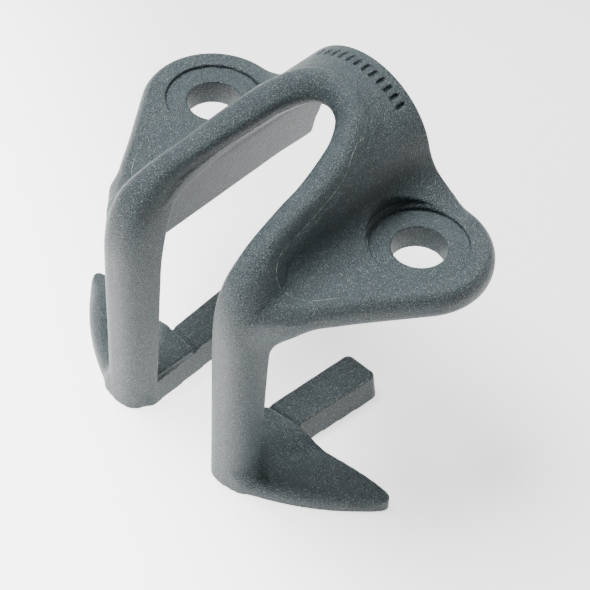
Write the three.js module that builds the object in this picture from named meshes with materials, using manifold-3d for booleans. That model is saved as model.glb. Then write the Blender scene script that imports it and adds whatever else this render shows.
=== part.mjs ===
// Horn of a small cam cleat: a rope guide moulded in one shot of glass-filled nylon. Two legs rise
// from curved claws, bend back into two arms, and meet in a crown whose flanks run down to two
// screw ears. The moulding is built whole, then parted along flat planes into its named members.
// Millimetres, +Z up. While it is built, y = 0 is the line through both screws, and -Y is the front.
import * as THREE from "three";
import { mergeVertices } from "three/addons/utils/BufferGeometryUtils.js";
import Module from "manifold-3d";

const wasm = await Module();
wasm.setup();

// ---- driving dimensions ------------------------------------------------------------------------
const SCREW_PITCH = 27; // between the two screws
const SCREW_X = SCREW_PITCH / 2;
const SCREW_HOLE_R = 2.65; // clears an M5 screw
const COUNTERBORE_R = 4.75; // takes an M5 pan head
const SEAT_Z = 24.5; // counterbore floor above the feet
const EAR_TOP_Z = 24.9;
const EAR_UNDER_Z = 21.75;
const EAR_R = 7.17;
const EAR_EDGE_ROUND = 1.3;
const REAR_Y = EAR_R; // the back face is tangent to both ear arcs
const EAR_SIDE_ANGLE = 0.612; // radians, the side edges' lean towards the legs
const EAR_BEND_Y = -13.4; // there the straight side swells out towards the shoulder
const EAR_SWELL = { x: 11.9, y: -15.3 };
const EAR_FRONT = { x: 9.9, y: -17.8 }; // and ends inside the leg

const HOOD_R = 8.3; // outer crown arc, seen from the back
const HOOD_CENTRE_Z = 26.5;
const HOOD_EDGE_ROUND = 0.5;
const FLANK_FILLET_R = 3.55; // concave foot of the flank on the ear
const TUNNEL_HALF = 5.0; // rope passage, half width where its arch springs
const TUNNEL_SPRING_Z = 27.5;
const TUNNEL_HALF_BASE = 5.7; // half width at the ears' underside, at the front
const TUNNEL_FLARE = 0.8; // how much each side opens towards the back

const LEG_BACK_Y = -15.35;
const LEG_SIDE_X = 9.65; // outer side of the leg just below the ear
const FLARE_R = 3.6; // concave round from there to the underside of the ear
const FLARE_FRONT_Y = -16.7;
const FLARE_BACK_Y = -14.55;
const BAR_HEIGHT = 3.0;
const BAR = { innerX: 4.9, outerX: 8.85, spreadX: 0.95, endY: 0.95, cornerR: 0.9 }; // in plan
const CLAW_BACK_Y = -9.4;
const CLAW_ROOT_HEIGHT = 4.2; // where it climbs the outer side of the leg
const CLAW_TIP_X = 20.9;
const CLAW_ARC = { x: -1.0, y: 7.55, r: 27.45 }; // outer edge of the right claw, in plan

// ---- planes that part the moulding into members -------------------------------------------------
const FOOT_TOP_Z = 3.5;
const CROWN_FRONT_Y = -1.2;
const SHOULDER_Y = -14.0;
const EAR_ROOT_X = 8.5;
const CLAW_ROOT_X = 9.9;

const FINE = 64; // segments in a full turn of a machined-looking round
const FAR = 60; // beyond the part in every direction

// ---- solids -------------------------------------------------------------------------------------
function solid(geometry) {
  const bare = geometry.clone();
  bare.deleteAttribute("normal");
  bare.deleteAttribute("uv");
  const merged = mergeVertices(bare, 1e-4);
  return new wasm.Manifold(
    new wasm.Mesh({
      numProp: 3,
      vertProperties: new Float32Array(merged.attributes.position.array),
      triVerts: new Uint32Array(merged.index.array),
    }),
  );
}

function geometryOf(manifold) {
  const mesh = manifold.getMesh();
  const geometry = new THREE.BufferGeometry();
  geometry.setAttribute("position", new THREE.BufferAttribute(new Float32Array(mesh.vertProperties), 3));
  geometry.setIndex(new THREE.BufferAttribute(new Uint32Array(mesh.triVerts), 1));
  geometry.computeVertexNormals();
  return geometry;
}

function unite(solids) {
  return solids.reduce((sum, next) => sum.add(next));
}

function block(x0, x1, y0, y1, z0, z1) {
  const box = new THREE.BoxGeometry(x1 - x0, y1 - y0, z1 - z0);
  return solid(box.translate((x0 + x1) / 2, (y0 + y1) / 2, (z0 + z1) / 2));
}

function upright(radius, x, y, z0, z1) {
  const cylinder = new THREE.CylinderGeometry(radius, radius, z1 - z0, FINE).rotateX(Math.PI / 2);
  return solid(cylinder.translate(x, y, (z0 + z1) / 2));
}

// A plan outline raised from z0 to z1.
function plate(outline, z0, z1) {
  const geometry = new THREE.ExtrudeGeometry(outline, { depth: z1 - z0, bevelEnabled: false });
  return solid(geometry.translate(0, 0, z0));
}

// An outline in x and z, carried along y from y0 to y1.
function alongY(outline, y0, y1) {
  const geometry = new THREE.ExtrudeGeometry(outline, { depth: y1 - y0, bevelEnabled: false });
  return solid(geometry.rotateX(Math.PI / 2).translate(0, y1, 0));
}

// An outline in y and z, carried along x from -x to +x.
function alongX(outline, x) {
  const geometry = new THREE.ExtrudeGeometry(outline, { depth: 2 * x, bevelEnabled: false });
  return solid(geometry.rotateX(Math.PI / 2).rotateZ(Math.PI / 2).translate(-x, 0, 0));
}

// Rings of equally many points, joined in order and closed at both ends. Either order will do.
function loft(rings) {
  const count = rings[0].length;
  const points = rings.flat();
  const faces = [];
  for (let r = 0; r + 1 < rings.length; r++) {
    for (let i = 0; i < count; i++) {
      const a = r * count + i;
      const b = r * count + ((i + 1) % count);
      faces.push(a, b, b + count, a, b + count, a + count);
    }
  }
  const last = (rings.length - 1) * count;
  for (let i = 1; i + 1 < count; i++) {
    faces.push(0, i + 1, i, last, last + i, last + i + 1);
  }
  const geometry = new THREE.BufferGeometry().setFromPoints(points);
  geometry.setIndex(faces);
  const body = solid(geometry);
  return body.volume() > 0 ? body : loft([...rings].reverse());
}

// Without specks and sealed voids.
function sound(manifold) {
  return unite(manifold.decompose().filter((body) => body.volume() > 1));
}

function mirrored(manifold) {
  return manifold.mirror([1, 0, 0]);
}

// ---- ears ---------------------------------------------------------------------------------------
// Both ears in plan: an arc round each screw, straight sides leaning in towards the legs, and a
// slight swell where each side runs out into its shoulder. Shrunk by inset to round the edges.
function earsRing(z, inset) {
  const side = { x: Math.cos(EAR_SIDE_ANGLE), y: -Math.sin(EAR_SIDE_ANGLE) };
  const bend = { x: (side.x * SCREW_X + EAR_R - side.y * EAR_BEND_Y) / side.x, y: EAR_BEND_Y };
  const right = [];
  const swellSteps = 5;
  for (let i = 0; i <= swellSteps; i++) {
    const t = i / swellSteps;
    const blend = (a, b, c) => (1 - t) ** 2 * a + 2 * t * (1 - t) * b + t ** 2 * c;
    const x = blend(EAR_FRONT.x, EAR_SWELL.x, bend.x);
    const y = blend(EAR_FRONT.y, EAR_SWELL.y, bend.y);
    right.push([x - inset * side.x, y - inset * side.y]);
  }
  const arcSteps = 24;
  for (let i = 0; i <= arcSteps; i++) {
    const turn = -EAR_SIDE_ANGLE + (i / arcSteps) * (Math.PI / 2 + EAR_SIDE_ANGLE);
    const r = EAR_R - inset;
    right.push([SCREW_X + r * Math.cos(turn), r * Math.sin(turn)]);
  }
  const left = right.map(([x, y]) => [-x, y]).reverse();
  return [[0, EAR_FRONT.y], ...right, ...left].map(([x, y]) => new THREE.Vector3(x, y, z));
}

function earPlates() {
  const steps = 4;
  const lower = [];
  const upper = [];
  for (let i = 0; i <= steps; i++) {
    const turn = (i / steps) * (Math.PI / 2);
    const rise = EAR_EDGE_ROUND * (1 - Math.cos(turn));
    const inset = EAR_EDGE_ROUND * (1 - Math.sin(turn));
    lower.push(earsRing(EAR_UNDER_Z + rise, inset));
    upper.unshift(earsRing(EAR_TOP_Z - rise, inset));
  }
  return loft([...lower, ...upper]);
}

// A tall prism with the ears' plan, to trim other shapes with.
function earsPrism(inset) {
  return loft([earsRing(0, inset), earsRing(FAR, inset)]);
}

// Concave flare that carries the outer side of the leg out to the underside of the ear.
function flare() {
  const centreX = LEG_SIDE_X + FLARE_R;
  const centreZ = EAR_UNDER_Z + 0.1 - FLARE_R;
  const outline = new THREE.Shape();
  outline.moveTo(LEG_SIDE_X - 2, centreZ);
  outline.lineTo(LEG_SIDE_X, centreZ);
  outline.absarc(centreX, centreZ, FLARE_R, Math.PI, Math.PI / 2, true);
  outline.lineTo(centreX, EAR_TOP_Z - EAR_EDGE_ROUND);
  outline.lineTo(LEG_SIDE_X - 2, EAR_TOP_Z - EAR_EDGE_ROUND);
  return alongY(outline, FLARE_FRONT_Y, FLARE_BACK_Y).intersect(earsPrism(0));
}

function screwCuts() {
  return unite(
    [-SCREW_X, SCREW_X].flatMap((x) => [
      upright(SCREW_HOLE_R, x, 0, 0, FAR),
      upright(COUNTERBORE_R, x, 0, SEAT_Z, FAR),
    ]),
  );
}

// ---- hood: bell-shaped outside, arched tunnel inside, its front cut back along the arms ----------
// One cross-section of the bell, shrunk by inset to round its back edge.
function bellRing(y, inset) {
  const reach = HOOD_R + FLANK_FILLET_R;
  const filletZ = EAR_TOP_Z + FLANK_FILLET_R;
  const meet = Math.asin((filletZ - HOOD_CENTRE_Z) / reach);
  const toeX = reach * Math.cos(meet);
  const filletSteps = 8;
  const crownSteps = 14;
  const right = [[toeX, EAR_UNDER_Z]];
  for (let i = 0; i <= filletSteps; i++) {
    const turn = (i / filletSteps) * (Math.PI / 2 - meet);
    const r = FLANK_FILLET_R + inset;
    right.push([toeX - r * Math.sin(turn), filletZ - r * Math.cos(turn)]);
  }
  for (let i = 1; i < crownSteps; i++) {
    const turn = meet + (i / crownSteps) * (Math.PI / 2 - meet);
    const r = HOOD_R - inset;
    right.push([r * Math.cos(turn), HOOD_CENTRE_Z + r * Math.sin(turn)]);
  }
  const left = right.map(([x, z]) => [-x, z]).reverse();
  const top = [0, HOOD_CENTRE_Z + HOOD_R - inset];
  return [[0, EAR_UNDER_Z], ...right, top, ...left].map(([x, z]) => new THREE.Vector3(x, y, z));
}

function bell() {
  const rings = [bellRing(LEG_BACK_Y, 0)];
  const steps = 3;
  for (let i = 0; i <= steps; i++) {
    const turn = (i / steps) * (Math.PI / 2);
    const y = REAR_Y - HOOD_EDGE_ROUND * (1 - Math.sin(turn));
    rings.push(bellRing(y, HOOD_EDGE_ROUND * (1 - Math.cos(turn))));
  }
  const clearOfSideEdges = earsPrism(EAR_EDGE_ROUND).add(block(-FAR, FAR, 0, FAR, 0, FAR));
  return loft(rings).intersect(clearOfSideEdges);
}

function tunnelRing(y, opening) {
  const ring = [];
  const steps = 28;
  const half = TUNNEL_HALF + opening;
  ring.push(new THREE.Vector3(TUNNEL_HALF_BASE + opening, y, EAR_UNDER_Z - 1));
  for (let i = 0; i <= steps; i++) {
    const turn = (Math.PI * i) / steps;
    ring.push(new THREE.Vector3(half * Math.cos(turn), y, TUNNEL_SPRING_Z + TUNNEL_HALF * Math.sin(turn)));
  }
  ring.push(new THREE.Vector3(-TUNNEL_HALF_BASE - opening, y, EAR_UNDER_Z - 1));
  return ring;
}

function tunnel() {
  const beyond = 2;
  return loft([tunnelRing(REAR_Y + beyond, TUNNEL_FLARE), tunnelRing(LEG_BACK_Y - 5, 0)]);
}

// Everything above the arms' rim, seen from the side.
function aboveRim() {
  const rim = [
    [-15.4, 26.6], [-12.5, 28.5], [-8, 29.7], [-4, 30.6], [-1, 31.6], [1, 32.8], [2.3, 33.8], [3.4, 36],
  ];
  const outline = new THREE.Shape();
  outline.moveTo(-FAR, FAR);
  outline.lineTo(-FAR, rim[0][1] - 2);
  outline.lineTo(...rim[0]);
  outline.splineThru(rim.slice(1).map(([y, z]) => new THREE.Vector2(y, z)));
  outline.lineTo(rim.at(-1)[0], FAR);
  return alongX(outline, FAR / 2);
}

// ---- legs and arms: one rounded bar from the foot over the shoulder to the crown -----------------
// Each station: centre of the flat side, direction the round side faces, half width, round height,
// and how far the flat side sinks into the wall behind it.
const STATIONS = [
  { at: [7.1, -15.35, 0], face: [0, -1, 0], half: 2.42, round: 3.0, sunk: 0 },
  { at: [7.12, -15.35, 8], face: [0, -1, 0], half: 2.47, round: 3.5, sunk: 0 },
  { at: [7.15, -15.35, 18], face: [0, -1, 0], half: 2.5, round: 4.0, sunk: 0 },
  { at: [7.25, -15.2, 22.5], face: [0, -1, 0.1], half: 2.55, round: 4.15, sunk: 0.4 },
  { at: [7.35, -14.6, 25.3], face: [0, -0.87, 0.5], half: 2.5, round: 3.8, sunk: 0.6 },
  { at: [7.1, -13.6, 27.1], face: [-0.05, -0.6, 0.8], half: 2.1, round: 2.85, sunk: 0.8 },
  { at: [6.7, -12.0, 28.3], face: [-0.1, -0.25, 0.96], half: 1.8, round: 2.2, sunk: 1 },
  { at: [6.25, -9.5, 29.2], face: [-0.2, -0.12, 0.97], half: 1.65, round: 1.8, sunk: 1 },
  { at: [5.85, -7.0, 29.8], face: [-0.3, -0.15, 0.94], half: 1.6, round: 1.7, sunk: 1 },
  { at: [5.2, -4.2, 30.5], face: [-0.35, -0.2, 0.9], half: 1.55, round: 1.7, sunk: 1 },
  { at: [4.3, -1.5, 31.4], face: [-0.4, -0.4, 0.82], half: 1.5, round: 1.7, sunk: 1 },
  { at: [3.0, 0.8, 32.4], face: [-0.3, -0.75, 0.6], half: 1.4, round: 1.7, sunk: 1 },
  { at: [1.5, 2.0, 33.2], face: [-0.1, -0.9, 0.43], half: 1.35, round: 1.7, sunk: 1 },
  { at: [0, 2.3, 33.5], face: [0, -0.92, 0.4], half: 1.3, round: 1.7, sunk: 1 },
];
const ROUND_POWER = 0.72; // below 1 squares the round side up a little

function barRing(centre, face, travel, size) {
  const out = face.clone().addScaledVector(travel, -face.dot(travel)).normalize();
  const across = travel.clone().cross(out).normalize();
  const steps = 14;
  const place = (u, v) => centre.clone().addScaledVector(across, u).addScaledVector(out, v);
  const ring = [place(size.x, -size.z)];
  for (let i = 0; i <= steps; i++) {
    const turn = (Math.PI * i) / steps;
    const c = Math.cos(turn);
    const s = Math.max(0, Math.sin(turn));
    ring.push(place(size.x * Math.sign(c) * Math.abs(c) ** ROUND_POWER, size.y * s ** ROUND_POWER));
  }
  ring.push(place(-size.x, -size.z));
  return ring;
}

function legAndArm() {
  const centres = new THREE.CatmullRomCurve3(STATIONS.map((s) => new THREE.Vector3(...s.at)));
  const faces = new THREE.CatmullRomCurve3(STATIONS.map((s) => new THREE.Vector3(...s.face)));
  const sizes = new THREE.CatmullRomCurve3(
    STATIONS.map((s) => new THREE.Vector3(s.half, s.round, s.sunk)),
  );
  const rings = [];
  const count = 3 * (STATIONS.length - 1);
  for (let i = 0; i <= count; i++) {
    const t = i / count;
    const travel = centres.getTangent(t);
    if (i === 0) travel.set(0, 0, 1);
    if (i === count) travel.set(-1, 0, 0);
    rings.push(barRing(centres.getPoint(t), faces.getPoint(t).normalize(), travel, sizes.getPoint(t)));
  }
  const past = rings.at(-1).map((point) => point.clone().setX(-0.4)); // the two arms overlap
  return loft([...rings, past]);
}

// ---- feet ---------------------------------------------------------------------------------------
function clawOutline() {
  const arcY = (x) => CLAW_ARC.y - Math.sqrt(CLAW_ARC.r ** 2 - (x - CLAW_ARC.x) ** 2);
  const angleAt = (x) => Math.atan2(arcY(x) - CLAW_ARC.y, x - CLAW_ARC.x);
  const arcStartX = 7.0;
  const arcEndX = CLAW_TIP_X - 0.8;
  const cornerY = LEG_BACK_Y - 1.9;
  const outline = new THREE.Shape();
  outline.moveTo(TUNNEL_HALF, CLAW_BACK_Y);
  outline.lineTo(TUNNEL_HALF, cornerY);
  outline.quadraticCurveTo(TUNNEL_HALF + 0.2, arcY(arcStartX) + 0.1, arcStartX, arcY(arcStartX));
  outline.absarc(CLAW_ARC.x, CLAW_ARC.y, CLAW_ARC.r, angleAt(arcStartX), angleAt(arcEndX), false);
  outline.quadraticCurveTo(CLAW_TIP_X + 0.8, CLAW_BACK_Y + 0.5, CLAW_TIP_X - 1.6, CLAW_BACK_Y + 0.8);
  return outline;
}

// Height of the claw seen from the front: thick by the leg, sinking to a flat fin.
function clawProfile() {
  const rootX = 9.2;
  const valley = { x: 12.5, z: 2.0 };
  const end = { x: 21.5, z: 1.7 };
  const outline = new THREE.Shape();
  outline.moveTo(0, 0);
  outline.lineTo(0, CLAW_ROOT_HEIGHT);
  outline.lineTo(rootX, CLAW_ROOT_HEIGHT);
  outline.quadraticCurveTo(rootX + 0.4, valley.z + 0.1, valley.x, valley.z);
  outline.quadraticCurveTo((valley.x + end.x) / 2, valley.z + 0.3, end.x, end.z);
  outline.lineTo(end.x, 0);
  return outline;
}

function claw() {
  const fin = plate(clawOutline(), 0, CLAW_ROOT_HEIGHT).intersect(alongY(clawProfile(), -FAR, FAR));
  const clearBehindLeg = block(0, FAR, LEG_BACK_Y, 0, BAR_HEIGHT, FAR);
  return fin.subtract(clearBehindLeg);
}

function bar() {
  const { innerX, outerX, spreadX, endY, cornerR } = BAR;
  const outline = new THREE.Shape();
  outline.moveTo(innerX, LEG_BACK_Y - 1);
  outline.lineTo(outerX, LEG_BACK_Y - 1);
  outline.lineTo(outerX, CLAW_BACK_Y);
  outline.lineTo(outerX + spreadX, endY - cornerR);
  outline.quadraticCurveTo(outerX + spreadX, endY, outerX + spreadX - cornerR, endY);
  outline.lineTo(innerX + cornerR + 0.4, endY);
  outline.quadraticCurveTo(innerX + 0.4, endY, innerX + 0.4, endY - cornerR);
  return plate(outline, 0, BAR_HEIGHT);
}

// ---- the whole moulding, then its members --------------------------------------------------------
function moulding() {
  const wall = bell().add(earPlates()).subtract(tunnel()).subtract(aboveRim());
  const side = unite([legAndArm(), flare(), claw(), bar()]);
  const above = block(-FAR, FAR, -FAR, FAR, 0, FAR);
  return unite([wall, side, mirrored(side)]).subtract(screwCuts()).intersect(above);
}

function members() {
  const whole = moulding();
  const middle = block(-EAR_ROOT_X, EAR_ROOT_X, CROWN_FRONT_Y, FAR, EAR_UNDER_Z, FAR);
  const shoulder = block(0, FAR, -FAR, SHOULDER_Y, EAR_UNDER_Z, FAR);
  const armRun = block(0, EAR_ROOT_X, SHOULDER_Y, CROWN_FRONT_Y, EAR_UNDER_Z, FAR);
  const clawRoot = block(0, FAR, -FAR, CLAW_BACK_Y, 0, FOOT_TOP_Z);
  const clawTip = block(CLAW_ROOT_X, FAR, CLAW_BACK_Y, FAR, 0, FOOT_TOP_Z);
  const rightHalf = {
    arm: armRun.add(shoulder),
    ear: block(EAR_ROOT_X, FAR, SHOULDER_Y, FAR, EAR_UNDER_Z, FAR),
    leg: block(0, FAR, -FAR, FAR, FOOT_TOP_Z, EAR_UNDER_Z),
    claw: clawRoot.add(clawTip),
    bar: block(0, CLAW_ROOT_X, CLAW_BACK_Y, FAR, 0, FOOT_TOP_Z),
  };
  const parts = { crown: sound(whole.intersect(middle)) };
  for (const [name, region] of Object.entries(rightHalf)) {
    parts[`right_${name}`] = sound(whole.intersect(region));
    parts[`left_${name}`] = sound(whole.intersect(mirrored(region)));
  }
  return parts;
}

// ---- materials and scene -------------------------------------------------------------------------
const NYLON = { color: 0x4b5558, roughness: 0.62, metalness: 0 };

const horn = new THREE.Group();
const parts = members();
for (const [name, manifold] of Object.entries(parts)) {
  const mesh = new THREE.Mesh(geometryOf(manifold), new THREE.MeshStandardMaterial(NYLON));
  mesh.name = name;
  horn.add(mesh);
}
const box = new THREE.Box3().setFromObject(horn);
horn.position.y = -(box.min.y + box.max.y) / 2;

export default horn;
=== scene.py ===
"""Horn of a small cam cleat, as a moulded nylon part on a pale floor.

The moulding is one smooth signed-distance field, so that every member runs into the next through
its moulded fillet. The field is meshed once, cut along flat planes into one closed piece for each
CAD member, and each piece takes its normals from the field, so the cuts can't be seen.

The field is written in millimetres with y = 0 on the line through both screws and z = 0 at the
feet. Everything handed to Blender is in metres, in the CAD's frame.
"""
import math
from itertools import product

import bmesh
import bpy
import numpy as np
from mathutils import Euler, Matrix, Vector


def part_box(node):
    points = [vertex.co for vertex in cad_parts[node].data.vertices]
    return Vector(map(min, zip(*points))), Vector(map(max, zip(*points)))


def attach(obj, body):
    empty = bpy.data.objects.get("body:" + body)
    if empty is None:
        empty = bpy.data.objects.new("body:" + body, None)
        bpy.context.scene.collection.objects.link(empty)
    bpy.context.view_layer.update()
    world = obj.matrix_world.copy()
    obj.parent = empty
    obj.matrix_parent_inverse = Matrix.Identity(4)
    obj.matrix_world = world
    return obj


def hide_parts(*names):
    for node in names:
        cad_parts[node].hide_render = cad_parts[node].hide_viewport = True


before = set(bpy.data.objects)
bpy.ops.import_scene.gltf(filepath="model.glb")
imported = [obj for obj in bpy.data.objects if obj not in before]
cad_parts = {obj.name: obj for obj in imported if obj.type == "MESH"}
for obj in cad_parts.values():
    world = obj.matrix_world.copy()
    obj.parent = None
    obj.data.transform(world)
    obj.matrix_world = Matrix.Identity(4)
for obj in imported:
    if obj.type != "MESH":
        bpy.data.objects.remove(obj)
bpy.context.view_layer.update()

MM = 0.001
GRID = 0.16  # spacing of the field's samples
FIELD = {"x": 21.5, "y": (-20.4, 8.2), "z": (-0.5, 35.6)}  # what they span: half width, depth, height

# ---- driving dimensions, millimetres --------------------------------------------------------------
# A pair named _OVER or "over" holds the two places between which one shape eases into the next.
SCREW_X = 13.5
SCREW_HOLE_R = 2.65
HOLE_EDGE_R = 0.12
COUNTERBORE_R = 4.75
COUNTERBORE_EDGE_R = 0.15
SEAT_Z = 24.5

EAR_TOP_Z = 24.9
COUNTERBORE_FLARE = 0.25  # how much wider the recess is where it cuts the flank
COUNTERBORE_FLARE_OVER = (EAR_TOP_Z, EAR_TOP_Z + 0.3)
EAR_UNDER_Z = 21.75
EAR_R = 7.17
EAR_EDGE_R = 1.6  # round of the upper edge
EAR_EDGE_LIP = 0.2  # how far the flat top cuts into that round, which leaves a crisp line
EAR_CREASE_R = 0.04  # of that line
EAR_LOWER_R = 1.4
EAR_SIDE_ANGLE = 0.612
EAR_SIDE_RUN = 22
EAR_SWELL = 0.12  # how far the straight side bulges by the shoulder
EAR_SWELL_OVER = (-9, -13)
EAR_FRONT_Y = -16.9
EAR_FRONT_CORNER_R = 2.0
REAR_Y = EAR_R

LEG_BACK_Y = -15.35
LEG_INNER_X = 4.7
LEG_CORNER_R = 0.25

HOOD_R = 8.3
HOOD_CENTRE_Z = 26.5
HOOD_BOTTOM_Z = EAR_UNDER_Z + 1
HOOD_FRONT_Y = LEG_BACK_Y + 0.4
HOOD_EDGE_R = 0.5
HOOD_EDGE_OVER = (EAR_TOP_Z, EAR_TOP_Z + 2)  # the rear edge is crisp along the ears
HOOD_EDGE_LIP = 0.05
HOOD_CREASE_R = 0.05
FLANK_FILLET_R = 4.0
FLANK_FILLET_GROWTH = 1.6  # towards the back
FLANK_GROWTH_OVER = (1, REAR_Y)

TUNNEL_HALF = 5.0
TUNNEL_WIDENING = 0.35  # of the half width, from front to back
TUNNEL_SPRING_Z = 27.5
TUNNEL_DRAFT = 0.113
TUNNEL_DRAFT_GROWTH = 0.06  # from front to back
TUNNEL_EDGE_R = 0.35
TUNNEL_EDGE_GROWTH = 0.55  # towards the lower edge
TUNNEL_EDGE_OVER = (25, 22.6)

RIM_EDGE_R = 0.4
RIM_COSINE = 0.8  # of the rim's slope, which turns height above it into distance
RIM = [  # y and z of the rim that the arms follow
    (-15.4, 26.4), (-12.5, 28.4), (-8, 29.6), (-4, 30.5), (-1, 31.5), (1, 32.7), (2.6, 34.2), (3.4, 36),
]

ARM_FILLET_R = 0.45
SHOULDER_FILLET_R = 2.0
UNDER_FILLET_R = 3.8  # from the leg to the underside of the ear
UNDER_FILLET_OVER = (-17.5, -14.5)
SHOULDER_OVER = (25.6, 23.6)  # heights
PASSAGE_WALL_OVER = (-0.2, 1.0)  # distance into the solid from the passage

# How far the arms and legs may stand into the passage.
STAND_IN = 0.1
RIM_STAND_IN_OVER = (26, 28)  # heights where 1 mm more is allowed, for the arm's bead
LEG_STAND_IN = 1.2
LEG_STAND_IN_OVER = {"y": (-11, -15.3), "z": (25, 22)}
LEG_TRIM_OVER = (23, 26)  # heights over which the trim of the leg's inner side fades
LEG_TRIM_FADE = 9

FOOT_FILLET_R = 0.2
CLAW_FILLET_GROWTH = 1.1  # out past the leg
CLAW_FILLET_OVER = (8.0, 9.6)
CLAW_ARC = {"x": -1.0, "y": 7.55, "r": 27.42}
CLAW_INNER = {"x": 5.0, "r": 3.6}
CLAW_BACK = {"x": 8.6, "y": -9.85, "slope": 0.12, "r": 0.3}
CLAW_TIP_R = 1.5
CLAW_TIP_OVER = (8, 12)
CLAW_HEIGHT = 1.95
CLAW_ROOT = {"rise": 1.25, "over": (10.4, 7.2), "y": -14.2, "bend": 0.1}
CLAW_SWELL = {"rise": 0.12, "x": 15.5, "width": 3}
CLAW_DROP = {"depth": 0.4, "over": (17, 21)}  # towards the tip
CLAW_EDGE_R = 0.15
CLAW_EDGE_GROWTH = {"r": 1.2, "x": (7.5, 10), "back": (-0.6, -2.6)}  # away from the leg and the back edge

BAR_HEIGHT = 2.9
BAR_CORE = [(5.45, -16.0), (7.95, -16.0), (8.05, -9.4), (8.75, 0.15), (6.3, 0.15)]
BAR_CORNER_R = 0.7  # added round the core
BAR_DRAFT = 0.4  # how much further out the walls stand at the bottom
BAR_EDGE_R = 0.12
BAR_GROOVE = {"depth": 0.25, "over": (0.7, 0.4)}  # behind the claw

DIMPLES = {"per_side": 6, "pitch": 1.0, "y": 5.5, "half": 0.34, "r": 0.22, "depth": 0.3, "edge_r": 0.05}
FLASH = {"r": 0.036, "thickness": (0.35, 1.1), "per_knot": 14, "per_break": 6, "taper": 8}

GRAIN_DEPTH = 0.18  # strength of the bump that stands for the spark-eroded surface

# Parting planes between the members.
LEG_TOP_Z = 21.5
FOOT_TOP_Z = 3.6
CLAW_REAR_Y = -8.8
EAR_INNER_X = 8.3  # at the rear edge
EAR_INNER_LEAN = 0.083
ARM_REAR_Y = -1.2

# Staging, metres.
FLOOR_HALF = 0.3
LIGHT_TARGET = (0, 0, 0.015)

HOLE_LINE_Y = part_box("right_ear")[1].y / MM - REAR_Y  # places the field in the CAD's frame


# ---- field tools ----------------------------------------------------------------------------------
def ramp(value, low, high):
    """0 at low, 1 at high, smooth between. low may be above high."""
    t = np.clip((value - low) / (high - low), 0, 1)
    return t * t * (3 - 2 * t)


def between(a, b, share):
    return a + (b - a) * share


def join(a, b, r):
    """Union of two fields with a concave fillet of radius r."""
    return np.maximum(r, np.minimum(a, b)) - np.hypot(np.maximum(r - a, 0), np.maximum(r - b, 0))


def meet(a, b, r):
    """Intersection of two fields with a convex round of radius r."""
    return -join(-a, -b, r)


def polygon(x, y, corners):
    """Signed distance to a polygon."""
    nearest = np.full(np.broadcast(x, y).shape, 1e6)
    sign = np.ones(nearest.shape)
    for (ax, ay), (bx, by) in zip(corners, corners[1:] + corners[:1]):
        ex, ey = bx - ax, by - ay
        t = np.clip(((x - ax) * ex + (y - ay) * ey) / (ex * ex + ey * ey), 0, 1)
        nearest = np.minimum(nearest, (x - ax - ex * t) ** 2 + (y - ay - ey * t) ** 2)
        above_a, above_b = y >= ay, y < by
        left = ex * (y - ay) > ey * (x - ax)
        flip = (above_a & above_b & left) | (~above_a & ~above_b & ~left)
        sign = np.where(flip, -sign, sign)
    return sign * np.sqrt(nearest)


def spline(knots, count):
    """Catmull-Rom curve through knots, sampled count times."""
    knots = np.array(knots, float)
    padded = np.vstack([2 * knots[0] - knots[1], knots, 2 * knots[-1] - knots[-2]])
    t = np.linspace(0, len(knots) - 1, count)
    i = np.minimum(t.astype(int), len(knots) - 2)
    f = (t - i)[:, None]
    a, b, c, d = (padded[i + k] for k in range(4))
    square = (2 * a - 5 * b + 4 * c - d) * f**2
    cube = (3 * b - a - 3 * c + d) * f**3
    return 0.5 * (2 * b + (c - a) * f + square + cube)


# ---- ears, hood and tunnel ------------------------------------------------------------------------
def ear_plan(x, y):
    """Both ears in plan: arcs round the screws, and straight sides that swell by the shoulders."""
    run_x = SCREW_X - EAR_SIDE_RUN * math.sin(EAR_SIDE_ANGLE)
    run_y = -EAR_SIDE_RUN * math.cos(EAR_SIDE_ANGLE)
    core = [(SCREW_X, 0), (-SCREW_X, 0), (-run_x, run_y), (run_x, run_y)]
    plan = polygon(x, y, core) - EAR_R - EAR_SWELL * ramp(y, *EAR_SWELL_OVER)
    return meet(plan, EAR_FRONT_Y - y, EAR_FRONT_CORNER_R)


def ear_plates(x, y, z):
    plates = meet(ear_plan(x, y), z - EAR_TOP_Z - EAR_EDGE_LIP, EAR_EDGE_R)
    plates = meet(plates, z - EAR_TOP_Z, EAR_CREASE_R)
    return meet(plates, EAR_UNDER_Z - z, EAR_LOWER_R)


def hood(x, y, z):
    """Ears and bell, with a crisp line where the rear edge starts to round."""
    bell = np.hypot(x, z - HOOD_CENTRE_Z) - HOOD_R
    bell = np.maximum(bell, np.maximum(HOOD_BOTTOM_Z - z, HOOD_FRONT_Y - y))
    flank_r = FLANK_FILLET_R + FLANK_FILLET_GROWTH * ramp(y, *FLANK_GROWTH_OVER)
    body = join(ear_plates(x, y, z), bell, flank_r)
    edge_r = between(HOOD_CREASE_R, HOOD_EDGE_R, ramp(z, *HOOD_EDGE_OVER))
    return np.maximum(body, meet(body - HOOD_EDGE_LIP, y - REAR_Y, edge_r))


def tunnel(x, y, z):
    """Distance into the solid from the rope passage's wall, negative inside the passage."""
    along = np.maximum((y - LEG_BACK_Y) / (REAR_Y - LEG_BACK_Y), 0)
    widen = TUNNEL_WIDENING * along
    draft = TUNNEL_DRAFT + TUNNEL_DRAFT_GROWTH * along
    arch = np.hypot(x, np.maximum(z - TUNNEL_SPRING_Z, 0)) - TUNNEL_HALF - widen
    return arch - draft * np.maximum(TUNNEL_SPRING_Z - z, 0)


def above_rim(y, z):
    """Positive above and in front of the arms' rim."""
    rim = spline(RIM, 60)
    return (z - np.interp(y, rim[:, 0], rim[:, 1])) * RIM_COSINE


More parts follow.
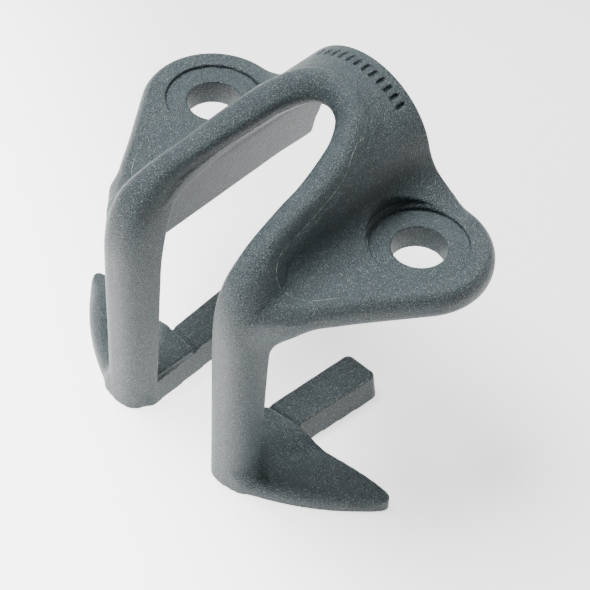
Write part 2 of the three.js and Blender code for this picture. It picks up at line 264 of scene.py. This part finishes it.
def screw_cuts(x, y, z, body):
    away = np.hypot(x - SCREW_X, y)
    body = meet(body, SCREW_HOLE_R - away, HOLE_EDGE_R)
    recess_r = COUNTERBORE_R + COUNTERBORE_FLARE * ramp(z, *COUNTERBORE_FLARE_OVER)
    recess = np.maximum(away - recess_r, SEAT_Z - z)
    return meet(body, -recess, COUNTERBORE_EDGE_R)


def dimples(x, y, z, body):
    """A plain row of short slots along the crown's back edge."""
    around = HOOD_R * np.arctan2(x, np.maximum(z - HOOD_CENTRE_Z, 0.1))
    number = np.clip(np.floor(around / DIMPLES["pitch"]), 0, DIMPLES["per_side"] - 1)
    beside = around - (number + 0.5) * DIMPLES["pitch"]
    past_end = np.maximum(np.abs(y - DIMPLES["y"]) - DIMPLES["half"], 0)
    outline = np.hypot(beside, past_end) - DIMPLES["r"]
    below_floor = HOOD_R - DIMPLES["depth"] - np.hypot(x, z - HOOD_CENTRE_Z)
    return meet(body, -np.maximum(outline, below_floor), DIMPLES["edge_r"])


# ---- legs and arms: one rounded bar swept from the foot over the shoulder to the crown --------------
# x, y, z of the flat side's centre; direction the round side faces; half width, round height, how far
# the flat side sinks into the wall behind it.
STATIONS = [
    (7.1, LEG_BACK_Y, -1.0, 0, -1, 0, 2.42, 3.1, 0),
    (7.12, LEG_BACK_Y, 8.0, 0, -1, 0, 2.47, 3.5, 0),
    (7.2, LEG_BACK_Y, 18.0, 0, -1, 0, 2.56, 4.0, 0),
    (7.25, -15.2, 22.5, 0, -1, 0.1, 2.55, 4.15, 0.4),
    (7.15, -14.6, 25.3, 0, -0.87, 0.5, 2.3, 3.8, 0.6),
    (6.85, -13.6, 27.1, -0.05, -0.6, 0.8, 1.75, 2.85, 0.8),
    (6.55, -12.0, 28.3, -0.1, -0.25, 0.96, 1.45, 2.2, 1),
    (6.25, -9.5, 29.2, -0.2, -0.12, 0.97, 1.45, 1.8, 1),
    (6.05, -7.0, 29.8, -0.3, -0.15, 0.94, 1.52, 1.7, 1),
    (5.58, -4.1, 30.5, -0.35, -0.2, 0.9, 1.62, 1.75, 1),
    (4.85, -1.1, 31.4, -0.4, -0.4, 0.82, 1.66, 1.85, 1),
    (3.5, 1.3, 32.35, -0.3, -0.75, 0.6, 1.7, 1.95, 1),
    (1.8, 2.5, 32.95, -0.1, -0.9, 0.43, 1.7, 2.05, 1),
    (0, 2.9, 33.1, 0, -0.92, 0.4, 1.7, 2.1, 1),
    (-1.8, 2.5, 32.95, 0.1, -0.9, 0.43, 1.7, 2.05, 1),
]
SWEEP_STEPS = 210
SWEEP_OVERLAP = 0.3  # how far each step runs past its ends
SWEEP_MARGIN = 4.4  # how far out from the bar the field is worked out, past the widest fillet
FAR = 9.0  # the field beyond that
ROUND_POWER = 2.78  # above 2 squares the round side up a little


def bar_section(u, v, half, rise, sunk):
    """A squared-up half ellipse towards +v on a flat side at -sunk."""
    a, b = np.abs(u) / half, np.maximum(v, 0) / rise
    total = a**ROUND_POWER + b**ROUND_POWER + 1e-6
    steep = np.hypot(a ** (ROUND_POWER - 1) / half, b ** (ROUND_POWER - 1) / rise)
    steep = np.maximum(steep * total ** (1 / ROUND_POWER - 1), 0.1)
    return meet((total ** (1 / ROUND_POWER) - 1) / steep, -v - sunk, LEG_CORNER_R)


def softened(field):
    """The field averaged with its neighbours, which takes out the sweep's small facets."""
    for axis, count in enumerate(field.shape):
        wide = np.pad(field, [(1, 1) if k == axis else (0, 0) for k in range(3)], "edge")
        before, after = (np.take(wide, range(k, count + k), axis) for k in (0, 2))
        field = (before + 2 * field + after) / 4
    return field


def sweep_sections():
    """Centre, travel, outward and sideways directions, and sizes, at each step of the sweep."""
    rows = spline(STATIONS, SWEEP_STEPS)
    at, out, sizes = rows[:, :3], rows[:, 3:6], rows[:, 6:]
    travel = np.gradient(at, axis=0)
    travel /= np.linalg.norm(travel, axis=1)[:, None]
    out = out - (out * travel).sum(1)[:, None] * travel
    out /= np.linalg.norm(out, axis=1)[:, None]
    return at, travel, out, np.cross(travel, out), sizes


def distance_along(grid, axis, origin):
    """How far each point of a grid lies past origin, measured along axis."""
    return sum((g - o) * a for g, o, a in zip(grid, origin, axis))


def legs_and_arms(x, y, z):
    """The swept bar's field, worked out step by step in the cells near each step."""
    at, travel, out, across, sizes = sweep_sections()
    field = np.full((x.size, y.size, z.size), FAR, np.float32)
    for i in range(SWEEP_STEPS - 1):
        a, b = at[i], at[i + 1]
        span = max(sizes[i, 1], sizes[i, 0]) + SWEEP_MARGIN
        low, high = np.minimum(a, b) - span, np.maximum(a, b) + span
        cells = tuple(
            slice(*np.searchsorted(axis.ravel(), ends)) for axis, ends in zip((x, y, z), zip(low, high))
        )
        near = x[cells[0]], y[:, cells[1]], z[:, :, cells[2]]
        if any(axis.size == 0 for axis in near):
            continue
        past_a = distance_along(near, travel[i], a)
        past_b = distance_along(near, travel[i + 1], b)
        s = np.clip(past_a / (past_a - past_b + 1e-9), 0, 1)
        u, v = (
            distance_along(near, way[i], a) * (1 - s) + distance_along(near, way[i + 1], b) * s
            for way in (across, out)
        )
        half, rise, sunk = (sizes[i, k] + s * (sizes[i + 1, k] - sizes[i, k]) for k in range(3))
        d = bar_section(u, v, half, rise, sunk)
        d = np.maximum(d, np.maximum(-past_a, past_b) - SWEEP_OVERLAP)
        field[cells] = np.minimum(field[cells], d)
    return softened(softened(field))


# ---- feet -----------------------------------------------------------------------------------------
def claw_back(x, y):
    return y - CLAW_BACK["y"] - CLAW_BACK["slope"] * (x - CLAW_BACK["x"])


def claw_height(x, y):
    """Highest by the leg, with a faint swell half way along, and lower at the tip."""
    from_root = x - CLAW_ROOT["bend"] * np.maximum(y - CLAW_ROOT["y"], 0) ** 2
    root = CLAW_ROOT["rise"] * ramp(from_root, *CLAW_ROOT["over"])
    swell = CLAW_SWELL["rise"] * np.exp(-(((x - CLAW_SWELL["x"]) / CLAW_SWELL["width"]) ** 2))
    drop = CLAW_DROP["depth"] * ramp(x, *CLAW_DROP["over"])
    return CLAW_HEIGHT + root + swell - drop


def claw(x, y, z):
    arc = np.hypot(x - CLAW_ARC["x"], y - CLAW_ARC["y"]) - CLAW_ARC["r"]
    front = meet(arc, CLAW_INNER["x"] - x, CLAW_INNER["r"])
    back = claw_back(x, y)
    plan = meet(front, back, between(CLAW_BACK["r"], CLAW_TIP_R, ramp(x, *CLAW_TIP_OVER)))
    away = ramp(x, *CLAW_EDGE_GROWTH["x"]) * ramp(back, *CLAW_EDGE_GROWTH["back"])
    return meet(plan, z - claw_height(x, y), CLAW_EDGE_R + CLAW_EDGE_GROWTH["r"] * away)


def bar(x, y, z):
    """Drafted bar, with a shallow groove across it behind the claw."""
    plan = polygon(x, y, BAR_CORE) - BAR_CORNER_R - BAR_DRAFT * (1 - np.clip(z / BAR_HEIGHT, 0, 1))
    groove = BAR_GROOVE["depth"] * ramp(claw_back(x, y), *BAR_GROOVE["over"])
    return meet(plan, z - BAR_HEIGHT + groove, BAR_EDGE_R)


def foot(x, y, z, limbs):
    """Claw and bar on the leg, with the claw's fillet growing out past the leg."""
    fillet_r = CLAW_FILLET_GROWTH * ramp(x, *CLAW_FILLET_OVER) + FOOT_FILLET_R
    return join(join(claw(x, y, z), limbs, fillet_r), bar(x, y, z), FOOT_FILLET_R)


# ---- the whole moulding ---------------------------------------------------------------------------
def upper(x, y, z, limbs):
    """Hood, ears and tunnel with the arms and legs joined on, kept clear of the rope passage."""
    passage = tunnel(x, y, z)
    edge_r = TUNNEL_EDGE_R + TUNNEL_EDGE_GROWTH * ramp(z, *TUNNEL_EDGE_OVER)
    body = meet(hood(x, y, z), -passage, edge_r)
    body = meet(body, above_rim(y, z), RIM_EDGE_R)
    in_shoulder = ramp(z, *SHOULDER_OVER) * ramp(passage, *PASSAGE_WALL_OVER)
    shoulder_r = between(SHOULDER_FILLET_R, UNDER_FILLET_R, ramp(y, *UNDER_FILLET_OVER))
    body = join(body, limbs, ARM_FILLET_R + in_shoulder * shoulder_r)
    over = LEG_STAND_IN_OVER
    by_leg = LEG_STAND_IN * ramp(y, *over["y"]) * ramp(z, *over["z"])
    body = np.maximum(body, -passage - STAND_IN - ramp(z, *RIM_STAND_IN_OVER) - by_leg)
    return np.maximum(body, LEG_INNER_X - x - LEG_TRIM_FADE * ramp(z, *LEG_TRIM_OVER))


def moulding(x, y, z):
    """Signed distance on the half x >= 0."""
    limbs = legs_and_arms(x, y, z)
    body = np.minimum(upper(x, y, z, limbs), foot(x, y, z, limbs))
    body = dimples(x, y, z, screw_cuts(x, y, z, body))
    return np.maximum(body, -z).astype(np.float32)


def sample_field():
    """The field on a grid over the whole part, and the grid's lowest corner."""
    x = (np.arange(int(FIELD["x"] / GRID)) + 0.5) * GRID
    y = np.arange(*FIELD["y"], GRID)
    z = np.arange(FIELD["z"][0] - 0.5 * GRID, FIELD["z"][1], GRID)
    half = moulding(x[:, None, None], y[None, :, None], z[None, None, :])
    return np.concatenate([half[::-1], half]), np.array([-x[-1], y[0], z[0]])


# ---- meshing --------------------------------------------------------------------------------------
def look_up(field, low, points):
    """Trilinear value of the field at points."""
    where = np.clip((points - low) / GRID, 0, np.array(field.shape) - 1.001)
    base = where.astype(int)
    part = where - base
    total = np.zeros(len(points))
    for corner in product((0, 1), repeat=3):
        weight = np.prod(np.where(corner, part, 1 - part), axis=1)
        total += weight * field[tuple((base + corner).T)]
    return total


def slope_at(field, low, points, reach=0.6):
    """Gradient of the field at points."""
    step = reach * GRID
    columns = []
    for axis in np.eye(3):
        ahead, behind = (look_up(field, low, points + axis * way) for way in (step, -step))
        columns.append(ahead - behind)
    return np.stack(columns, axis=1) / (2 * step)


def surface_net(field, low):
    """Vertices and quads of the zero surface, drawn onto the surface."""
    inside = field < 0
    cells = np.array(field.shape) - 1
    count = np.zeros(cells, np.int8)
    for corner in product((0, 1), repeat=3):
        count += inside[tuple(slice(c, c + n) for c, n in zip(corner, cells))]
    active = (count > 0) & (count < 8)
    number = np.full(cells, -1, np.int64)
    number[active] = np.arange(active.sum())
    ijk = np.argwhere(active)
    total, crossings = np.zeros((len(ijk), 3)), np.zeros(len(ijk))
    quads = []
    for axis in range(3):
        unit = np.eye(3, dtype=int)[axis]
        others = [k for k in range(3) if k != axis]
        for offset in product((0, 1), repeat=2):
            start = ijk.copy()
            start[:, others] += offset
            a = field[tuple(start.T)]
            b = field[tuple((start + unit).T)]
            cross = (a < 0) != (b < 0)
            t = np.where(cross, a / np.where(cross, a - b, 1), 0)
            total += np.where(cross[:, None], start + t[:, None] * unit, 0)
            crossings += cross
        first = [slice(1, n) for n in cells]
        first[axis] = slice(0, cells[axis])
        second = list(first)
        second[axis] = slice(1, cells[axis] + 1)
        change = inside[tuple(first)] != inside[tuple(second)]
        edge = np.argwhere(change) + [0 if k == axis else 1 for k in range(3)]
        p, q = (np.eye(3, dtype=int)[k] for k in others)
        ring = np.stack([number[tuple((edge - s).T)] for s in (0 * p, p, p + q, q)], axis=1)
        outward = inside[tuple(edge.T)] == (axis != 1)
        ring[~outward] = ring[~outward][:, ::-1]
        quads.append(ring)
    points = low + total / crossings[:, None] * GRID
    start = points.copy()
    for _ in range(3):
        slope = slope_at(field, low, points)
        points -= (look_up(field, low, points) / (slope**2).sum(1))[:, None] * slope
        shift = points - start
        far = np.linalg.norm(shift, axis=1) / GRID
        points = start + shift / np.maximum(far, 1)[:, None]
    return points, np.concatenate(quads)


def to_metres(points):
    return (points + [0, HOLE_LINE_Y, 0]) * MM


# ---- cutting into members ---------------------------------------------------------------------------
def halves(bm, point, normal):
    """Two closed meshes, behind and in front of a plane. Cap faces are left flat-shaded."""
    result = []
    for keep_front in (False, True):
        side = bm.copy()
        geometry = side.verts[:] + side.edges[:] + side.faces[:]
        cut = bmesh.ops.bisect_plane(
            side, geom=geometry, dist=1e-7, plane_co=point, plane_no=normal,
            clear_inner=keep_front, clear_outer=not keep_front,
        )
        rim = [e for e in cut["geom_cut"] if isinstance(e, bmesh.types.BMEdge) and e.is_boundary]
        caps = bmesh.ops.holes_fill(side, edges=rim, sides=0)
        for face in caps["faces"]:
            face.smooth = False
        result.append(side)
    return result


def by_side(bm):
    """The left and right bodies of a mesh that nothing joins across x = 0."""
    result = []
    for sign in (-1, 1):
        side = bm.copy()
        other = [v for v in side.verts if v.co.x * sign < 0]
        bmesh.ops.delete(side, geom=other, context="VERTS")
        result.append(side)
    return result


def members(bm):
    def plane_at(x, y, z):
        return to_metres(np.array([x, y, z]))

    low, top = halves(bm, plane_at(0, 0, LEG_TOP_Z), (0, 0, 1))
    feet, legs = halves(low, plane_at(0, 0, FOOT_TOP_Z), (0, 0, 1))
    claws, bars = halves(feet, plane_at(0, CLAW_REAR_Y, 0), (0, 1, 0))
    rest, right_ear = halves(top, plane_at(EAR_INNER_X, REAR_Y, 0), (1, EAR_INNER_LEAN, 0))
    middle, left_ear = halves(rest, plane_at(-EAR_INNER_X, REAR_Y, 0), (-1, EAR_INNER_LEAN, 0))
    arms, crown = halves(middle, plane_at(0, ARM_REAR_Y, 0), (0, 1, 0))
    pieces = {"crown": crown, "right_ear": right_ear, "left_ear": left_ear}
    for name, pair in (("arm", arms), ("leg", legs), ("claw", claws), ("bar", bars)):
        pieces["left_" + name], pieces["right_" + name] = by_side(pair)
    return pieces


def make_pieces(material, field, low):
    points, quads = surface_net(field, low)
    mesh = bpy.data.meshes.new("moulding")
    mesh.from_pydata(to_metres(points).tolist(), [], quads.tolist())
    mesh.validate()
    whole = bmesh.new()
    whole.from_mesh(mesh)
    for face in whole.faces:
        face.smooth = True
    for node, bm in members(whole).items():
        made = bpy.data.meshes.new(node + "_skin")
        bm.to_mesh(made)
        made.materials.append(material)
        set_normals(made, field, low)
        piece = bpy.data.objects.new(node + "_skin", made)
        bpy.context.scene.collection.objects.link(piece)
        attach(piece, "root")
        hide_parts(node)
    bpy.data.meshes.remove(mesh)


# ---- flash: thin pale threads the mould left along its parting lines --------------------------------
FLASH_LINES = {
    "outer": [
        (13.5, -10.06, 24.9), (11.9, -12.5, 24.9), (10.85, -13.55, 25), (10.2, -13.95, 25.2),
        (9.45, -14.3, 25.75), (9.15, -14.5, 26.55), (8.8, -14.4, 27.4), (8.45, -13.9, 28.2),
        (8.15, -13.2, 28.7), (8.0, -11.9, 28.9), (7.85, -10.2, 29.3), (7.6, -8.3, 29.8),
        (7.4, -7.2, 30.15), (6.45, -3.0, 31.15), (5.3, -0.3, 32.5), (4.0, 2.2, 33.9),
    ],
    "opening": [
        (0.1, 0.97, 32.3), (0.7, 1.08, 32.04), (1.68, 0.4, 31.87), (2.4, -0.64, 31.38),
        (3.1, -2.39, 30.83), (3.63, -4.47, 30.2), (3.98, -6.4, 29.73), (4.41, -8.26, 29.48),
        (4.65, -9.66, 29.18), (4.8, -11, 28.84), (4.8, -12.56, 28.48), (4.75, -13.9, 27.88),
        (4.7, -15.1, 27.0),
    ],
    "leg": [(4.65, LEG_BACK_Y, 19), (4.65, LEG_BACK_Y, 14), (4.67, LEG_BACK_Y, 9), (4.7, LEG_BACK_Y, 3.2)],
    "claw": [(5.0, -10.05, 3.2), (6.6, -9.9, 3.2), (8.0, -9.75, 3.1), (9.2, -9.6, 2.6), (11.5, -9.35, 2.0)],
    "bar": [
        (8.7, -9.2, BAR_HEIGHT), (9.0, -5.0, BAR_HEIGHT), (9.35, -0.3, BAR_HEIGHT),
        (9.2, 0.65, BAR_HEIGHT), (8.5, 0.85, BAR_HEIGHT),
    ],
    "recess": [
        (9.2, 2.6, 25.3), (8.6, 0.8, 25.3), (8.6, -0.8, 25.3), (9.2, -2.6, 25.3), (10.9, -4.2, 25.0),
    ],
}


def onto_skin(points, field, low):
    """Points moved down the field's slope until they lie on its zero surface."""
    for _ in range(6):
        slope = slope_at(field, low, points)
        points = points - (look_up(field, low, points) / (slope**2).sum(1))[:, None] * slope
    return points


def flash_line(curve, points, chance):
    """One thread, thinning out at its ends and broken up along its length."""
    count = len(points)
    steps = np.arange(count)
    breaks = np.arange(0, count + FLASH["per_break"], FLASH["per_break"])
    rough = np.interp(steps, breaks, chance.uniform(*FLASH["thickness"], len(breaks)))
    ends = np.minimum(steps, steps[::-1]) / FLASH["taper"]
    line = curve.splines.new("POLY")
    line.points.add(count - 1)
    line.points.foreach_set("co", np.c_[to_metres(points), np.ones(count)].ravel())
    line.points.foreach_set("radius", rough * np.clip(ends, 0.1, 1))


def flash_lines(material, field, low):
    """Each line on both sides of the moulding."""
    chance = np.random.default_rng(7)
    for name, knots in FLASH_LINES.items():
        curve = bpy.data.curves.new("flash_" + name, "CURVE")
        curve.dimensions = "3D"
        curve.bevel_depth = FLASH["r"] * MM
        curve.bevel_resolution = 1
        for sign in (1, -1):
            path = spline(knots, FLASH["per_knot"] * len(knots))
            flash_line(curve, onto_skin(path * [sign, 1, 1], field, low), chance)
        curve.materials.append(material)
        piece = bpy.data.objects.new("flash_" + name, curve)
        bpy.context.scene.collection.objects.link(piece)
        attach(piece, "root")


def set_normals(mesh, field, low):
    """The field's own normals on the skin, flat ones on the cut faces."""
    points = np.empty(len(mesh.vertices) * 3)
    mesh.vertices.foreach_get("co", points)
    points = points.reshape(-1, 3) / MM - [0, HOLE_LINE_Y, 0]
    normals = slope_at(field, low, points)
    normals /= np.linalg.norm(normals, axis=1)[:, None]
    corner_vertex = np.empty(len(mesh.loops), np.int32)
    mesh.loops.foreach_get("vertex_index", corner_vertex)
    corner_normals = normals[corner_vertex]
    for face in mesh.polygons:
        if not face.use_smooth:
            corner_normals[face.loop_start:face.loop_start + face.loop_total] = face.normal
    mesh.normals_split_custom_set(corner_normals.tolist())


# ---- material -------------------------------------------------------------------------------------
def coordinates(tree, kind):
    return tree.nodes.new("ShaderNodeTexCoord").outputs[kind]


def noise(tree, scale, detail):
    texture = tree.nodes.new("ShaderNodeTexNoise")
    texture.inputs["Scale"].default_value = scale
    texture.inputs["Detail"].default_value = detail
    tree.links.new(coordinates(tree, "Object"), texture.inputs["Vector"])
    return texture.outputs["Fac"]


def colour_ramp(tree, factor, stops):
    node = tree.nodes.new("ShaderNodeValToRGB")
    elements = node.color_ramp.elements
    for element, (position, colour) in zip(elements, stops):
        element.position = position
        element.color = (*colour, 1)
    tree.links.new(factor, node.inputs["Fac"])
    return node.outputs["Color"]


def mixed(tree, factor, a, b, blend="MIX"):
    """Two colours mixed. A Mix node's colour sockets are inputs 6 and 7 and output 2."""
    node = tree.nodes.new("ShaderNodeMix")
    node.data_type = "RGBA"
    node.blend_type = blend
    if isinstance(factor, float):
        node.inputs["Factor"].default_value = factor
    else:
        tree.links.new(factor, node.inputs["Factor"])
    tree.links.new(a, node.inputs[6])
    tree.links.new(b, node.inputs[7])
    return node.outputs[2]


def measured(tree, operation, vector, direction=(0, 0, 0)):
    """A vector's length, or its dot product with a direction."""
    node = tree.nodes.new("ShaderNodeVectorMath")
    node.operation = operation
    node.inputs[1].default_value = direction
    tree.links.new(vector, node.inputs[0])
    return node.outputs["Value"]


def gradient(tree, value, start, end):
    """A smooth change from one (value, result) to another."""
    node = tree.nodes.new("ShaderNodeMapRange")
    node.interpolation_type = "SMOOTHSTEP"
    node.inputs["From Min"].default_value, node.inputs["To Min"].default_value = start
    node.inputs["From Max"].default_value, node.inputs["To Max"].default_value = end
    tree.links.new(value, node.inputs["Value"])
    return node.outputs["Result"]


def new_material(name, roughness):
    material = bpy.data.materials.new(name)
    material.use_nodes = True
    shader = material.node_tree.nodes["Principled BSDF"]
    shader.inputs["Roughness"].default_value = roughness
    return material, material.node_tree, shader


def nylon():
    """Slate grey nylon: spark-eroded grain, pale specks painted into the colour as glints, and a faint
    mottle.
    """
    material, tree, shader = new_material("grained_nylon", 0.42)
    grain = noise(tree, 7500, 3)
    base = colour_ramp(tree, grain, [(0.35, (0.0, 0.005, 0.008)), (0.68, (0.03, 0.056, 0.062))])
    mottle = colour_ramp(tree, noise(tree, 420, 3), [(0.3, (0.72, 0.76, 0.8)), (0.7, (1, 1, 1))])
    base = mixed(tree, 1.0, base, mottle, "MULTIPLY")
    # Painted glints: pale specks mixed into the base colour to stand for the grain's sparkle where it
    # catches the light.
    painted_glint_mask = colour_ramp(tree, noise(tree, 9500, 1), [(0.58, (0, 0, 0)), (0.74, (1, 1, 1))])
    painted_glint_colour = colour_ramp(tree, grain, [(0, (0.08, 0.1, 0.1)), (1, (0.24, 0.26, 0.25))])
    tree.links.new(mixed(tree, painted_glint_mask, base, painted_glint_colour), shader.inputs["Base Color"])
    bump = tree.nodes.new("ShaderNodeBump")
    bump.inputs["Strength"].default_value = 1
    bump.inputs["Distance"].default_value = GRAIN_DEPTH * MM
    tree.links.new(grain, bump.inputs["Height"])
    tree.links.new(bump.outputs["Normal"], shader.inputs["Normal"])
    return material


def flash_nylon():
    """Thin flash is paler than the body, because light passes through it."""
    material, tree, shader = new_material("pale_flash", 0.5)
    tints = [(0.38, (0.03, 0.045, 0.045)), (0.65, (0.26, 0.27, 0.23))]
    tree.links.new(colour_ramp(tree, noise(tree, 2500, 2), tints), shader.inputs["Base Color"])
    return material


def floor():
    """A pale floor that glows as painted light: brightest towards the front left, dimmer towards the back
    right as painted shade, and fading with distance.
    """
    bm = bmesh.new()
    bmesh.ops.create_grid(bm, x_segments=1, y_segments=1, size=FLOOR_HALF)
    mesh = bpy.data.meshes.new("floor")
    bm.to_mesh(mesh)
    material, tree, shader = new_material("glowing_floor", 0.8)
    shader.inputs["Base Color"].default_value = (0.6, 0.6, 0.6, 1)
    shader.inputs["Emission Color"].default_value = (1, 1, 1, 1)
    where = coordinates(tree, "Object")
    # Painted light and shade in the glow: strong in front left, weak behind and to the right where the
    # moulding shades the floor.
    forwards = measured(tree, "DOT_PRODUCT", where, (-0.45, -0.89, 0))
    strength = tree.nodes.new("ShaderNodeMath")
    strength.operation = "MULTIPLY"
    tree.links.new(gradient(tree, forwards, (-0.012, 1.4), (0.024, 4.2)), strength.inputs[0])
    away = measured(tree, "LENGTH", where)
    tree.links.new(gradient(tree, away, (0.05, 1), (0.13, 0)), strength.inputs[1])
    tree.links.new(strength.outputs["Value"], shader.inputs["Emission Strength"])
    mesh.materials.append(material)
    plane = bpy.data.objects.new("floor", mesh)
    bpy.context.scene.collection.objects.link(plane)


# ---- light and camera -----------------------------------------------------------------------------
def turned(azimuth, elevation):
    """The turn that points a lamp or camera at its target from a direction, in degrees."""
    return Euler((math.radians(90 - elevation), 0, math.radians(azimuth))).to_matrix().to_4x4()


def area_light(name, azimuth, elevation, distance, size, power):
    light = bpy.data.lights.new(name, "AREA")
    light.energy = power
    light.shape = "DISK"
    light.size = size
    lamp = bpy.data.objects.new(name, light)
    back = Matrix.Translation((0, 0, distance))
    lamp.matrix_world = Matrix.Translation(LIGHT_TARGET) @ turned(azimuth, elevation) @ back
    bpy.context.scene.collection.objects.link(lamp)


def studio():
    """Soft light from above and behind, dim in front, and one key lamp from the left."""
    world = bpy.data.worlds.new("soft_studio")
    bpy.context.scene.world = world
    world.use_nodes = True
    tree = world.node_tree
    background = tree.nodes["Background"]
    background.inputs["Color"].default_value = (1, 1, 1, 1)
    back_and_up = measured(tree, "DOT_PRODUCT", coordinates(tree, "Generated"), (0, 0.85, 0.5))
    tree.links.new(gradient(tree, back_and_up, (0.15, 0.1), (0.9, 1.2)), background.inputs["Strength"])
    area_light("key", azimuth=-75, elevation=66, distance=0.5, size=0.3, power=8)


def camera():
    lens = bpy.data.cameras.new("camera")
    lens.sensor_width = 36
    lens.lens = 181.12
    lens.clip_start = 0.01
    viewer = bpy.data.objects.new("camera", lens)
    target = Vector((4.046, HOLE_LINE_Y - 6.11, 15.066)) * MM
    azimuth, elevation, roll, distance = 40.976, 46.255, -4.502, 0.28304
    back = Matrix.Translation((0, 0, distance))
    roll_turn = Matrix.Rotation(math.radians(-roll), 4, "Z")
    viewer.matrix_world = Matrix.Translation(target) @ turned(azimuth, elevation) @ back @ roll_turn
    bpy.context.scene.collection.objects.link(viewer)
    bpy.context.scene.camera = viewer


field, low = sample_field()
make_pieces(nylon(), field, low)
flash_lines(flash_nylon(), field, low)
floor()
studio()
camera()
